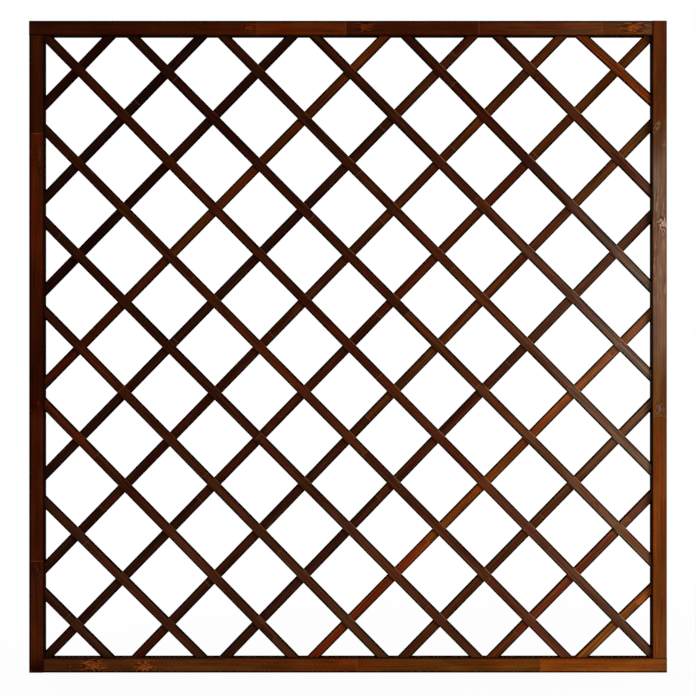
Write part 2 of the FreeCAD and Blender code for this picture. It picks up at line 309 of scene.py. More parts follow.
class Nodes:
    """Short calls that build one node tree, from sockets or plain values."""

    def __init__(self, tree):
        self.tree = tree

    def put(self, socket, value):
        """Link a socket to another, or give it a plain value."""
        if isinstance(value, bpy.types.NodeSocket):
            self.tree.links.new(value, socket)
        else:
            socket.default_value = (*value, 1) if socket.type == "RGBA" else value

    def node(self, kind, values=(), **settings):
        """Add a node, with its settings and its inputs' values or links."""
        made = self.tree.nodes.new("ShaderNode" + kind)
        for key, value in settings.items():
            setattr(made, key, value)
        for key, value in dict(values).items():
            self.put(made.inputs[key], value)
        return made

    def math(self, operation, *values):
        return self.node("Math", enumerate(values), operation=operation).outputs[0]

    def times(self, value, *factors):
        """Numbers multiplied together."""
        for factor in factors:
            value = self.math("MULTIPLY", value, factor)
        return value

    def line(self, value, slope, start):
        """A number times a slope, added to a start."""
        return self.math("MULTIPLY_ADD", value, slope, start)

    def range(self, value, low, high, to_low=0, to_high=1):
        """A number's way from low to high, as an even curve from to_low to to_high."""
        values = enumerate((value, low, high, to_low, to_high))
        return self.node("MapRange", values, interpolation_type="SMOOTHSTEP").outputs[0]

    def vector(self, operation, *values):
        return self.node("VectorMath", enumerate(values), operation=operation).outputs[0]

    def length(self, vector):
        return self.node("VectorMath", {0: vector}, operation="LENGTH").outputs["Value"]

    def parts(self, vector):
        return self.node("SeparateXYZ", {0: vector}).outputs

    def noise(self, scales, detail=2, roughness=0.5):
        """Noise about 0.5, with a scale for each direction."""
        vector = self.vector("MULTIPLY", self.place, scales)
        values = {"Vector": vector, "Scale": 1, "Detail": detail, "Roughness": roughness}
        return self.node("TexNoise", values).outputs["Fac"]

    def blend(self, share, first, second, kind="MIX"):
        values = {0: share, 6: first, 7: second}
        return self.node("Mix", values, data_type="RGBA", blend_type=kind).outputs[2]

    def tint(self, share, colour, tint):
        """A colour multiplied by a tint, in full where the share is 1."""
        return self.blend(share, colour, tint, "MULTIPLY")

    def shadow(self, colour, strength):
        """A colour dimmed or raised by a number."""
        values = {0: colour, "Scale": strength}
        return self.node("VectorMath", values, operation="SCALE").outputs[0]

    def attribute(self, name):
        return self.node("Attribute", attribute_name=name).outputs

    def surface(self, inputs, height, strength, distance):
        """Give the shader its inputs, and bumps by a height."""
        bump = self.node("Bump", {"Strength": strength, "Distance": distance, "Height": height})
        shader = self.tree.nodes["Principled BSDF"]
        for name, value in {**inputs, "Normal": bump.outputs[0]}.items():
            self.put(shader.inputs[name], value)


def new_material(name):
    """A material, and the calls that build its nodes."""
    material = bpy.data.materials.new(name)
    material.use_nodes = True
    return material, Nodes(material.node_tree)


def wood_material(name, ring_width, ring_depth, unevenness, knot_glow):
    """Stained softwood, its grain laid out in each timber's own frame.

    The mesh gives the place in the tree (wood), the colour with its painted shade and sheen
    (stain_and_painted_light), the painted shade of edges, below 0 a painted highlight, how deep
    in a joint and how worn (shade_and_marks), and the nearest knot's place and size (knot).
    """
    material, nodes = new_material(name)
    nodes.place = nodes.attribute("wood")["Vector"]
    stain_and_painted_light = nodes.attribute("stain_and_painted_light")["Color"]
    edge, joint, wear = nodes.parts(nodes.attribute("shade_and_marks")["Vector"])
    nearness, red, lines, ring, dull, dead = knot_shapes(nodes)
    rings = ring_lines(nodes, nearness, ring_width)
    streaks = nodes.noise(STREAKS, 3, 0.6)
    fibres = nodes.noise(FIBRES)
    level = nodes.times(
        nodes.range(streaks, 0.3, 0.7, 1 - unevenness, 1 + unevenness),
        nodes.range(nodes.noise(PATCHES), 0.3, 0.7, 0.76, 1.24),
        nodes.range(rings, 0, 1, 1.05, 1.05 - ring_depth),
        nodes.range(fibres, 0.25, 0.75, 0.82, 1.18),
    )
    colour = tinted(nodes, nodes.shadow(stain_and_painted_light, level), 2 * unevenness)
    stained = nodes.range(nodes.math("ABSOLUTE", wear), 0.1, 0.4, 1, 0)
    colour = nodes.shadow(colour, dull)
    heart = nodes.tint(1, stain_and_painted_light, nodes.blend(dead, stronger(HEART, knot_glow), DEAD))
    pale_stain = nodes.tint(1, stain_and_painted_light, stronger(CURL, 1.5 * knot_glow))
    worn = wear_cover(nodes, wear)
    for cover, layer in (
        (nodes.times(red, stained), heart),
        (lines, nodes.blend(stained, SCUFFED, pale_stain)),
        (worn, nodes.blend(streaks, BARE_DARK, BARE_PALE)),
        (ring, KNOT_RING),
        # A painted highlight along a joint's lips, then its dark line
        (nodes.range(joint, 0.1, 0.5, 0, 0.5), JOINT_LIT),
        (nodes.range(joint, 0.6, 0.95), JOINT_DARK),
        # The painted highlight on a front lath's upper arris where laths cross
        (nodes.range(edge, -1, 0, 0.5, 0), ARRIS_LIT),
    ):
        colour = nodes.blend(cover, colour, layer)
    # Painted shade along the edges and in the frame's groove
    colour = nodes.shadow(colour, nodes.range(edge, 0, 1, 1, 0.05))
    shine = nodes.line(worn, 0.15, nodes.line(fibres, 0.16, 0.56))
    shine = nodes.line(nodes.range(edge, 0.3, 1), 0.4, shine)
    height = nodes.line(fibres, 0.5, nodes.times(rings, 0.35))
    height = nodes.line(worn, -0.6, nodes.line(ring, -0.8, height))
    inputs = {"Base Color": colour, "Roughness": shine, "Specular IOR Level": 0.015}
    nodes.surface(inputs, height, 0.6, 0.25 * MM)
    return material


def tinted(nodes, colour, share):
    """The stain's colour, redder or browner in patches, with flecks in its pores."""
    warmth = nodes.noise(WARMTH)
    tints = nodes.noise(TINTS, 2, 0.6)
    pores = nodes.noise(PORES, 1)
    colour = nodes.tint(nodes.range(warmth, 0.45, 0.68), colour, REDDENED)
    colour = nodes.tint(nodes.range(tints, 0.52, 0.72, 0, share), colour, MADDER)
    colour = nodes.tint(nodes.range(tints, 0.3, 0.48, share, 0), colour, UMBER)
    return nodes.blend(nodes.range(pores, 0.7, 0.78, 0, 0.7), colour, PORE)


def knot_shapes(nodes):
    """How near the closest knot is, the cover of its red wood, of the pale lines around it
    and of its dark ring, the light that it leaves, and 1 where it is dead (size below 0).
    """
    knot = nodes.attribute("knot")["Vector"]
    size = nodes.parts(knot)[2]
    radius = nodes.math("ABSOLUTE", size)
    dead = nodes.math("LESS_THAN", size, 0)
    flat = nodes.vector("MULTIPLY", nodes.vector("SUBTRACT", nodes.place, knot), (0.55, 1, 0))
    ragged = nodes.noise(RAGGED, 3, 0.7)
    frayed = nodes.range(ragged, 0.25, 0.75, -0.4, 1)
    distance = nodes.line(frayed, 4 * MM, nodes.length(flat))
    share = nodes.math("DIVIDE", distance, radius)
    nearness = nodes.math("EXPONENT", nodes.times(share, share, -0.22))
    figure = nodes.noise(KNOT_FIGURE, 1, 0.4)
    turns = nodes.line(figure, 32, nodes.times(share, 3))
    lines = nodes.times(
        nodes.range(nodes.math("SINE", turns), 0.25, 0.75),
        nodes.range(share, 1.2, 3.6, 0.9, 0),
        nodes.range(radius, 3.5 * MM, 6 * MM, 0.1, 1),
        nodes.line(dead, -0.8, 1),
    )
    red = nodes.range(share, nodes.line(dead, -0.3, 0.9), 1.5, 0.85, 0)
    ring = nodes.times(
        nodes.range(share, 0.85, 1.05),
        nodes.range(share, 1.15, 1.4, 1, 0),
        nodes.range(ragged, 0.4, 0.6, 0, 0.7),
    )
    heart = nodes.range(share, 0.05, 0.4, 0.6, 0)
    dull = nodes.range(share, 1.3, 3.6, 0.6, 1)
    return nearness, red, lines, nodes.math("MAXIMUM", ring, heart), dull, dead


def ring_lines(nodes, nearness, ring_width):
    """Growth rings around the tree's heart, pushed aside by a knot."""
    _, across, inward = nodes.parts(nodes.place)
    squares = nodes.line(inward, inward, nodes.times(across, across))
    radius = nodes.math("SQRT", squares)
    radius = nodes.line(nodes.noise(WAVER), 9 * MM, radius)
    radius = nodes.line(nearness, 9 * MM, radius)
    turn = nodes.math("FRACT", nodes.math("DIVIDE", radius, ring_width))
    return nodes.times(nodes.range(turn, 0.35, 0.85), nodes.range(turn, 0.9, 1, 1, 0))


def wear_cover(nodes, wear):
    """Where the stain has gone: in streaks along the grain where the wear is positive, in
    thin curls where it is negative.
    """
    streaks = nodes.noise(WORN_STREAKS, 4, 0.65)
    gap = nodes.math("SUBTRACT", streaks, nodes.line(wear, -0.42, 0.82))
    faded = nodes.times(nodes.range(gap, 0, 0.16), nodes.range(wear, 0, 0.08))
    turns = nodes.times(nodes.noise(WORN_FIGURE, 1, 0.4), 52)
    curls = nodes.range(nodes.math("SINE", turns), 0.3, 0.9)
    rubbed = nodes.times(curls, nodes.range(wear, -0.8, -0.15, 1, 0))
    return nodes.math("MAXIMUM", faded, rubbed)


def metal_material(name, colour, roughness, grain):
    """Zinc-coated steel, dulled in fine uneven spots."""
    material, nodes = new_material(name)
    nodes.place = nodes.node("TexCoord").outputs["Object"]
    spots = nodes.noise((grain, grain, grain), 4, 0.6)
    patches = nodes.noise((260, 260, 260))
    dulled = nodes.blend(nodes.range(patches, 0.4, 0.7), colour, TARNISH)
    inputs = {
        "Base Color": nodes.shadow(dulled, nodes.range(spots, 0.3, 0.7, 0.8, 1.12)),
        "Metallic": 1,
        "Roughness": nodes.line(spots, 0.3, roughness - 0.15),
    }
    nodes.surface(inputs, spots, 0.4, 0.05 * MM)
    return material


# Timbers


@dataclass
class Timber:
    """A length of wood in its own frame: along the grain, across the face, into the panel.

    Its boards meet at the joints. Each has its own place in its tree and its own stain.
    """

    origin: Vector
    along: Vector
    across: Vector
    length: float
    joints: list
    tones: list
    knots: list
    # How much a place is darkened; on the laths this is painted shade
    darkening: object
    # The pale film's share, partly painted sheen
    film_and_sheen: object

    def __post_init__(self):
        self.ends = [0, *self.joints, self.length]
        self.seed = random.random() * 50
        self.hearts = [
            (random.uniform(0, 40), random.uniform(-0.02, 0.02), random.uniform(0.025, 0.07),
             random.uniform(-0.006, 0.006))
            for _ in self.ends[1:]
        ]

    def place(self, a, c, d):
        """A point of the timber's own frame, in the panel's frame."""
        return self.origin + self.along * a + self.across * c + Vector((0, d, 0))

    def board(self, a):
        """Number of the board at a place along the timber."""
        return sum(a > joint for joint in self.joints)

    def wood(self, a, c, d, board):
        """The place in the tree: along it, and two ways out from its heart."""
        start, aside, out, slope = self.hearts[board]
        bow = 4 * MM * ripple(a, 0.5, self.seed + board)
        return (a + start, c + aside + slope * a * 3 + bow, d + out)

    def stain_and_painted_light(self, a, board):
        """The stain's colour, uneven over short and long stretches, with its darkening (painted
        shade on the laths) and its pale film, which is partly painted sheen.
        """
        start, end = self.ends[board], self.ends[board + 1]
        tone = graded(self.tones[board], min(1, max(0, (a - start) / (end - start))))
        # On the laths the darkening is painted shade
        level = 1 - self.darkening(self.place(a, 0, 0))
        level *= 1 + 0.16 * ripple(a, 0.09, self.seed) + 0.16 * ripple(a, 0.4, self.seed + 9)
        # The pale film is partly painted sheen
        film_and_sheen = self.film_and_sheen(self, a)
        clear = 1 - PALE_COVER * film_and_sheen
        return tuple(
            clear * part * level ** dim + film_and_sheen * pale
            for part, dim, pale in zip(tone, STAIN_DIMS, BLEACH_AND_SHEEN)
        )

    def nearest_knot(self, a, c, d):
        """The closest knot's place in the tree and its size, far off where there is none."""
        if not self.knots:
            return (-9, -9, MM)
        place, aside, radius = min(self.knots, key=lambda knot: abs(knot[0] - a))
        wood = self.wood(place, aside, d, self.board(place))
        return (wood[0], wood[1], radius)


def rounded_outline(corners, steps):
    """An outline with rounded corners and evenly divided sides.

    Each corner is a place and a radius. steps divides the sides that follow them.
    """
    points = []
    for number, (here, radius) in enumerate(corners):
        following, next_radius = corners[(number + 1) % len(corners)]
        before = (Vector(corners[number - 1][0]) - Vector(here)).normalized()
        after = (Vector(following) - Vector(here)).normalized()
        if radius:
            centre = Vector(here) + (before + after) * radius
            for step in range(ARRIS_STEPS):
                turn = math.pi / 2 * step / ARRIS_STEPS
                spoke = -after * math.cos(turn) - before * math.sin(turn)
                points.append(centre + spoke * radius)
        start = Vector(here) + after * radius
        end = Vector(following) - after * next_radius
        for step in range(steps[number]):
            points.append(start.lerp(end, step / steps[number]))
    return points


def box_outline(left, right, near, far, radius, steps):
    """A rectangle's outline with rounded corners, from its left side on."""
    places = (left, far), (left, near), (right, near), (right, far)
    return rounded_outline([(place, radius) for place in places], steps)


def member_outline(width, depth):
    """Section of a frame timber, with the groove in its inner edge."""
    half = depth / 2
    groove = GROOVE_WIDTH / 2
    floor = width - GROOVE_DEPTH
    corners = [
        ((0, half), ARRIS_RADIUS), ((0, -half), ARRIS_RADIUS),
        ((width, -half), ARRIS_RADIUS), ((width, -groove), 0), ((floor, -groove), 0),
        ((floor, groove), 0), ((width, groove), 0), ((width, half), ARRIS_RADIUS),
    ]
    return rounded_outline(corners, (FACE_STEPS, FACE_STEPS, 3, 2, 2, 2, 3, FACE_STEPS))


def stations(timber, start, end, step, extra):
    """Sections along a timber, as (place, joint number or None, depth in the joint).

    Close to a joint, the regular places make way for the joint's own five.
    """
    count = max(2, round((end - start) / step))
    regular = [start + (end - start) * number / count for number in range(count + 1)]
    rows = [
        (place, None, 0) for place in regular + extra
        if all(abs(place - joint) > JOINT_ROOM for joint in timber.joints)
    ]
    for number, joint in enumerate(timber.joints):
        rows += [(joint + offset, number, depth) for offset, depth in JOINT_SECTIONS]
    return sorted(rows)


def finger(d, pitch):
    """The zigzag of a finger joint on the timber's sides."""
    return FINGER_LENGTH / 2 * (4 * abs((d / pitch) % 1 - 0.5) - 1)


def sweep(shape, timber, outline, rows, dress):
    """Stand the outline at each row along the timber and skin the rings.

    dress moves each point a little, and gives its edge's painted shade and how worn it is.
    """
    vectors = shape.verts.layers.float_vector
    wood, shade_and_marks, stain_and_painted_light = vectors["wood"], vectors["shade_and_marks"], shape.verts.layers.float_color["stain_and_painted_light"]
    rings = []
    for place, joint, depth in rows:
        board = timber.board(place) if joint is None else joint + (place > timber.joints[joint])
        ring = []
        for c, d in outline:
            a = place + (0 if joint is None else finger(d, dress.pitch))
            c, d, edge, wear = dress.point(timber, a, c, d, depth)
            vert = shape.verts.new(timber.place(a, c, d))
            vert[wood] = timber.wood(a, c, d, board)
            vert[stain_and_painted_light] = (*timber.stain_and_painted_light(place, board), 1)
            vert[shade_and_marks] = (edge, depth, wear)
            ring.append(vert)
        rings.append(ring)
    skin(shape, rings)
    return rings


def skin(shape, rings):
    """Join rings of as many points, each to the next."""
    for near, far in zip(rings, rings[1:]):
        for number in range(len(near)):
            following = (number + 1) % len(near)
            shape.faces.new((near[number], near[following], far[following], far[number]))


def close_ends(shape, rings):
    """Close a skinned tube at both ends."""
    shape.faces.new(rings[0])
    shape.faces.new(rings[-1])


def add_tube(shape, sections):
    """A closed tube through sections of as many points."""
    rings = [[shape.verts.new(point) for point in section] for section in sections]
    skin(shape, rings)
    close_ends(shape, rings)


class LathDress:
    """Small irregularities of a lath, and the painted shade along its edges."""

    def __init__(self, width, near, far, face, crossings):
        self.width = width
        self.pitch = far - near - 2 * LATH_EDGE_RADIUS
        self.face = face
        self.middle = (near + far) / 2
        self.crossings = crossings

    def edge(self, timber, a, c, d):
        """Painted shade along the edges, less where laths cross. There a front lath's upper arris
        gets a painted highlight, stronger to the right.
        """
        side = self.width / 2 - abs(c)
        nearest = min((abs(a - crossing) for crossing in self.crossings), default=1)
        over = 1 - smooth(*(self.width / 2 + reach for reach in CROSSING_REACH), nearest)
        dark = 1 - smooth(2.7 * MM, 5.3 * MM, side)
        if self.face > 0 or c <= 0 or d >= self.middle - MM:
            return dark * (1 - over + over * CROSSING_EDGE)
        share = smooth(-0.9, 0.9, timber.place(a, 0, 0).x)
        lit = (0.15 + 0.85 * share) * (1 - smooth(MM, 2.6 * MM, side))
        if over >= 0.5:
            dark = 1
        return dark * (1 - over) - over * lit

    def point(self, timber, a, c, d, depth):
        """A point's new place across and into the panel, its edge's painted shade and its wear."""
        seed = timber.seed
        side = 1 if c > 0 else -1
        edge = self.edge(timber, a, c, d) * (BACK_SHARE if d > self.middle else 1)
        outward = abs(c) / (self.width / 2)
        bow = LATH_SIDE_WAVE * ripple(a, 0.15, seed + 3)
        nibble = 0.5 * LATH_SIDE_WAVE * ripple(a, 0.035, seed + 5 * side)
        c += bow + nibble * outward
        c -= side * depth * JOINT_GROOVE * outward
        if (d - self.middle) * self.face > 0:
            wave = LATH_WAVE * hollow(a, 0.06, seed + c * 90)
            d -= self.face * (wave + depth * JOINT_GROOVE)
        return c, d, edge, 0


class MemberDress:
    """The same for a frame timber, with a painted shadow in its groove, and its worn places."""

    def __init__(self, width, depth, worn, edge_shade):
        self.width = width
        self.half = depth / 2
        self.pitch = 4 * (depth - 2 * ARRIS_RADIUS) / FACE_STEPS
        self.worn = worn
        self.edge_shade = edge_shade

    def point(self, timber, a, c, d, depth):
        # The groove is painted fully dark, as its shadow
        if abs(d) < GROOVE_WIDTH / 2 + 0.1 * MM and c > MM:
            return c, d, 1, 0
        seed = timber.seed
        to_front = self.half - abs(d)
        # Painted shade on the outer edges, less at the back, and on the inner side by the laths
        outer_edge = 1 - smooth(4 * MM, 7 * MM, max(c, to_front))
        outer_edge *= BACK_SHARE if d > 0 else 1
        inner_side = 1 - smooth(MM, 5 * MM, self.width - c)
        edge = max(outer_edge * self.edge_shade, inner_side * INNER_EDGE)
        wear = self.worn(a, c, d)
        if to_front < ARRIS_RADIUS:
            dent = MEMBER_WAVE * hollow(a, 0.07, seed + c * 60)
            d -= math.copysign(dent + depth * JOINT_GROOVE, d)
        elif c < MM:
            c += MEMBER_WAVE * hollow(a, 0.08, seed + 30) + depth * JOINT_GROOVE
        return c, d, edge, wear


def new_shape():
    """An empty mesh, with the layers that the wood is shaded from."""
    shape = bmesh.new()
    shape.verts.layers.float_vector.new("wood")
    # The stain's colour, with painted shade and painted sheen laid in
    shape.verts.layers.float_color.new("stain_and_painted_light")
    # Painted edge shade, depth in a joint, and wear
    shape.verts.layers.float_vector.new("shade_and_marks")
    return shape


def add_object(name, data):
    """Put a mesh, a lamp or a camera into the scene."""
    made = bpy.data.objects.new(name, data)
    bpy.context.scene.collection.objects.link(made)
    return made


def finish_piece(name, shape, material, node, timber=None):
    """Turn a shape into a piece that stands for its CAD node."""
    bmesh.ops.recalc_face_normals(shape, faces=shape.faces)
    mesh = bpy.data.meshes.new(name)
    shape.to_mesh(mesh)
    shape.free()
    if timber:
        write_knots(mesh, timber)
    mesh.shade_smooth()
    mesh.set_sharp_from_angle(angle=math.radians(38))
    mesh.materials.append(material)
    piece = add_object(name, mesh)
    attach(piece, "root")
    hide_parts(node)


def write_knots(mesh, timber):
    """Give every face the place and size of its nearest knot."""
    layer = mesh.attributes.new("knot", "FLOAT_VECTOR", "FACE")
    values = []
    for face in mesh.polygons:
        offset = face.center - timber.origin
        a, c = offset.dot(timber.along), offset.dot(timber.across)
        values += timber.nearest_knot(a, c, offset.y)
    layer.data.foreach_set("vector", values)


# Frame members

# Each one's corner where it runs past (0 or 1 for left or right and for bottom or top),
# its direction and its inner edge's
MEMBERS = {
    "bottom_rail": ((1, 0), (-1, 0, 0), (0, 0, 1)),
    "left_stile": ((0, 0), (0, 0, 1), (1, 0, 0)),
    "top_rail": ((0, 1), (1, 0, 0), (0, 0, -1)),
    "right_stile": ((1, 1), (0, 0, -1), (-1, 0, 0)),
}

# Each one's joints, its boards' tones from end to end, and its knots (place along it, place
# across it, radius, negative where the knot is dead)
MEMBER_WOOD = {
    "bottom_rail": (
        (0.355, 0.873),
        (((110, 62, 20), (136, 68, 15)), ((92, 50, 12), (98, 50, 13)),
         ((104, 47, 9), (98, 54, 21), (92, 48, 20))),
        ((1.475, 0.015, 7.5 * MM), (1.622, 0.02, 8.5 * MM), (1.68, 0.018, 3 * MM)),
    ),
    "left_stile": (
        (0.313, 1.52),
        (((80, 34, 8), (70, 28, 8)),
         ((70, 26, 5), (75, 28, 6), (83, 32, 6)), ((62, 24, 6), (66, 25, 7))),
        ((0.29, 0.024, -6 * MM), (0.757, 0.028, 4.5 * MM), (1.414, 0.031, 3.4 * MM)),
    ),
    "top_rail": (
        (0.642, 0.893, 1.268, 1.616),
        (((58, 21, 5), (74, 28, 5)), ((98, 40, 7), (94, 38, 7)),
         ((66, 25, 6), (69, 26, 6)), ((66, 25, 5), (100, 54, 28)),
         ((76, 41, 13), (80, 40, 14))),
        ((0.625, 0.02, 5 * MM), (0.945, 0.016, 6 * MM), (1.705, 0.019, 9 * MM)),
    ),
    "right_stile": (
        (1.114,),
        (((80, 39, 13), (91, 50, 19), (101, 61, 27)),
         ((91, 49, 15), (101, 52, 14), (107, 57, 19))),
        ((0.575, 0.013, 6 * MM), (1.096, 0.021, -7 * MM)),
    ),
}

# Worn stain, pale film with painted sheen, and darkening on some of them
WEAR = {"right_stile": weathered, "left_stile": grazed}
FILMS_AND_SHEEN = {
    "right_stile": lambda timber, a: 1.7 * stretch((0.25, 0.46), (0.84, 1.06), a),
    "top_rail": lambda timber, a: 0.4 * smooth(1.72, 1.75, a),
}
DARKENINGS = {"left_stile": stile_darkening}

# Torn fibres on the bottom rail's inner edge: place, how far they stand up, length
SPLINTERS = (
    (0.075, 1.6 * MM, 9 * MM), (0.125, 2.4 * MM, 12 * MM), (0.178, 1.8 * MM, 8 * MM),
    (0.15, 1.2 * MM, 7 * MM),
)


def member_timber(name):
    """A member in its own frame, from its CAD node's corners, and its width and depth."""
    low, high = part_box(name)
    size = high - low
    (right, top), along, across = MEMBERS[name]
    corner = Vector((cad_box[right][0], 0, cad_box[top][2]))
    run = max(size.x, size.z) - TENON_LENGTH
    joints, boards, knots = MEMBER_WOOD[name]
    tones = [[srgb(*tone) for tone in board] for board in boards]
    timber = Timber(corner, Vector(along), Vector(across), run, joints, tones, knots,
                    DARKENINGS.get(name, nowhere), FILMS_AND_SHEEN.get(name, nowhere))
    return timber, min(size.x, size.z), size.y


def eased(outline, amount):
    """The outline drawn in by an amount all round."""
    drawn = []
    for number, point in enumerate(outline):
        way = outline[(number + 1) % len(outline)] - outline[number - 1]
        drawn.append(point + Vector((-way.y, way.x)).normalized() * amount)
    return drawn


def shade_end(shape, ring):
    """Shade points as sawn ends are, unworn and clear of joints."""
    shade_and_marks = shape.verts.layers.float_vector["shade_and_marks"]
    for vert in ring:
        vert[shade_and_marks] = (END_EDGE, 0, 0)


def close_member(shape, timber, outline, ring, dress):
    """Ease and close the end that shows. A rim keeps the painted edge shade to its edges."""
    rows = [(0, None, 0)]
    near, inner = (sweep(shape, timber, eased(outline, amount), rows, dress)[0]
                   for amount in (END_EASING, END_EASING + END_RIM))
    shade_end(shape, inner)
    skin(shape, [near, ring])
    skin(shape, [near, inner])
    shape.faces.new(inner)


def bore_window(rings, rows, outline):
    """The square of points around the screw's axis, and its rim."""
    row = min(range(len(rows)), key=lambda number: abs(rows[number][0] - SCREW_AXIS))
    columns = [number for number, point in enumerate(outline) if abs(point.x) < 1e-6]
    column = min(columns, key=lambda number: abs(outline[number].y))
    square = [ring[column - WINDOW_REACH:column + WINDOW_REACH + 1]
              for ring in rings[row - WINDOW_REACH:row + WINDOW_REACH + 1]]
    rim = square[0][:-1] + [ring[-1] for ring in square[:-1]]
    rim += square[-1][:0:-1] + [ring[0] for ring in square[:0:-1]]
    return set(sum(square, [])), rim


def cut_bore(shape, timber, rings, rows, outline):
    """Open the corner screw's countersunk hole in the outer face."""
    window, rim = bore_window(rings, rows, outline)
    inside = {face for vert in window for face in vert.link_faces
              if window.issuperset(face.verts)}
    bmesh.ops.delete(shape, geom=list(inside), context="FACES")
    cone = SINK_RADIUS - BORE_RADIUS
    wall = [rim]
    for radius, depth in ((SINK_RADIUS, 0), (BORE_RADIUS, cone), (BORE_RADIUS, BORE_SHOWN)):
        ring = []
        for vert in rim:
            offset = vert.co - timber.place(SCREW_AXIS, 0, 0)
            angle = math.atan2(offset.y, offset.dot(timber.along))
            ring.append(shape.verts.new(timber.place(
                SCREW_AXIS + radius * math.cos(angle), depth + BORE_RIM,
                radius * math.sin(angle),
            ), vert))
        wall.append(ring)
    skin(shape, wall)
    shape.faces.new(wall[-1])


def add_tenon(shape, timber, width, dress):
    """The stub that sits in the neighbour's groove."""
    half = TENON_THICKNESS / 2
    outline = box_outline(ARRIS_RADIUS, width - GROOVE_DEPTH, -half, half, 0, (2, 2, 2, 2))
    rows = [(timber.length + TENON_GAP, None, 0), (timber.length + TENON_LENGTH, None, 0)]
    rings = sweep(shape, timber, outline, rows, dress)
    for ring in rings:
        shade_end(shape, ring)
    close_ends(shape, rings)


def add_splinters(shape, timber, width):
    """Torn fibres that stand up from the rail's inner edge."""
    example = next(iter(shape.verts))
    foot = width - 0.6 * MM
    for place, lift, length in SPLINTERS:
        points = (
            (place, foot, -12 * MM), (place, foot, -10.5 * MM),
            (place + 2.2 * MM, foot, -11.2 * MM), (place + length, width + lift, -11.5 * MM),
        )
        verts = [shape.verts.new(timber.place(*point), example) for point in points]
        for face in ((0, 1, 2), (0, 1, 3), (1, 2, 3), (2, 0, 3)):
            shape.faces.new([verts[number] for number in face])


def make_member(name, material):
    """One frame timber, with its groove, tenon and bore."""
    timber, width, depth = member_timber(name)
    shape = new_shape()
    outline = member_outline(width, depth)
    # The right stile's edges get less painted shade, as it faces the light
    edge_shade = RIGHT_STILE_EDGE if name == "right_stile" else FRAME_EDGE
    dress = MemberDress(width, depth, WEAR.get(name, nowhere), edge_shade)
    around = [SCREW_AXIS + BORE_STEP * step for step in range(-WINDOW_REACH, WINDOW_REACH + 1)]
    start = SCREW_AXIS + BORE_STEP * (WINDOW_REACH + 2)
    rows = stations(timber, start, timber.length, MEMBER_STEP, around + [END_EASING])
    rings = sweep(shape, timber, outline, rows, dress)
    close_member(shape, timber, outline, rings[0], dress)
    shape.faces.new(rings[-1])
    cut_bore(shape, timber, rings, rows, outline)
    add_tenon(shape, timber, width, dress)
    if name == "bottom_rail":
        add_splinters(shape, timber, width)
    finish_piece(name + "_wood", shape, material, name, timber)


# Laths

# Each lath's tones from its left end to its right end, brown where none is given
FRONT_TONES = {
    3: "russet brown", 5: "dark brown", 8: "dark dark brown straw", 9: "dark brown olive",
    10: "dark dark brown", 11: "dark maroon", 12: "dark brown", 13: "orange orange",
}
REAR_TONES = {
    1: "dark dark", 2: "soot soot", 3: "dark soot dark", 4: "orange brown brown orange orange",
    5: "dark soot dark brown", 6: "dark dark brown olive", 7: "dark dark brown straw",
    8: "dark dark brown olive straw", 9: "dark dark brown olive",
    10: "ember ember amber ember amber", 11: "brown olive", 12: "brown russet",
    13: "amber amber",
}


def node_shape(name):
    """A CAD node's mesh, with its doubled points merged."""
    shape = bmesh.new()
    shape.from_mesh(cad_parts[name].data)
    bmesh.ops.remove_doubles(shape, verts=shape.verts, dist=0.01 * MM)
    return shape


def scattered(start, step, end):
    """Places along a lath, the first and each step to the next drawn from a range."""
    place = random.uniform(*start)
    while place < end:
        yield place
        place += random.uniform(*step)


def lath_knots(length, joints, width):
    """Small knots, none of them in a joint."""
    return [
        (place, random.uniform(-0.32, 0.32) * width, random.uniform(1.6, 3.4) * MM)
        for place in scattered((0.05, 0.5), (0.3, 1.1), length - 0.04)
        if all(abs(place - joint) > 0.035 for joint in joints)
    ]


def board_tones(tones, ends):
    """A tone for each board, by its place and a little by chance."""
    boards = []
    for start, end in zip(ends, ends[1:]):
        red, green, blue = graded(tones, (start + end) / 2 / ends[-1])
        level, turn = random.uniform(0.86, 1.16), random.uniform(0.9, 1.16)
        tone = (red * level, green * level * turn, blue * level * turn)
        boards.append((tone, tone))
    return boards


def lath_timber(name, tones):
    """A lath in its own frame, from its CAD node's edges and corners, and its width."""
    shape = node_shape(name)
    sharp = [edge for edge in shape.edges
             if edge.is_manifold and edge.calc_face_angle() > math.radians(20)]
    longest = max(sharp, key=lambda edge: edge.calc_length())
    along = (longest.verts[1].co - longest.verts[0].co).normalized()
    shape.free()
    if along.x < 0:
        along = -along
    across = Vector((-along.z, 0, along.x))
    points = [vert.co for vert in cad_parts[name].data.vertices]
    sides = [point.dot(across) for point in points]
    ends = [point.dot(along) for point in points]
    width = max(sides) - min(sides)
    origin = along * min(ends) + across * (max(sides) + min(sides)) / 2
    length = max(ends) - min(ends)
    joints = list(scattered((0.08, 0.7), (0.28, 0.85), length - 0.06))
    knots = lath_knots(length, joints, width)
    boards = board_tones(tones, [0] + joints + [length])
    film_and_sheen = lath_film_and_sheen(1 if "front" in name else REAR_SHARE)
    timber = Timber(origin, along, across, length, joints, boards, knots, lath_painted_shade, film_and_sheen)
    return timber, width


def trim_to_seat(shape, low, high):
    """Cut a lath off where its seat in the groove ends, and close the cuts."""
    planes = (low, (-1, 0, 0)), (high, (1, 0, 0)), (low, (0, 0, -1)), (high, (0, 0, 1))
    for corner, outward in planes:
        cut = bmesh.ops.bisect_plane(
            shape, geom=[*shape.verts, *shape.edges, *shape.faces], plane_co=corner,
            plane_no=outward, clear_outer=True, dist=1e-6,
        )
        rim = [thing for thing in cut["geom_cut"]
               if isinstance(thing, bmesh.types.BMEdge) and thing.is_boundary]
        if rim:
            bmesh.ops.holes_fill(shape, edges=rim, sides=0)


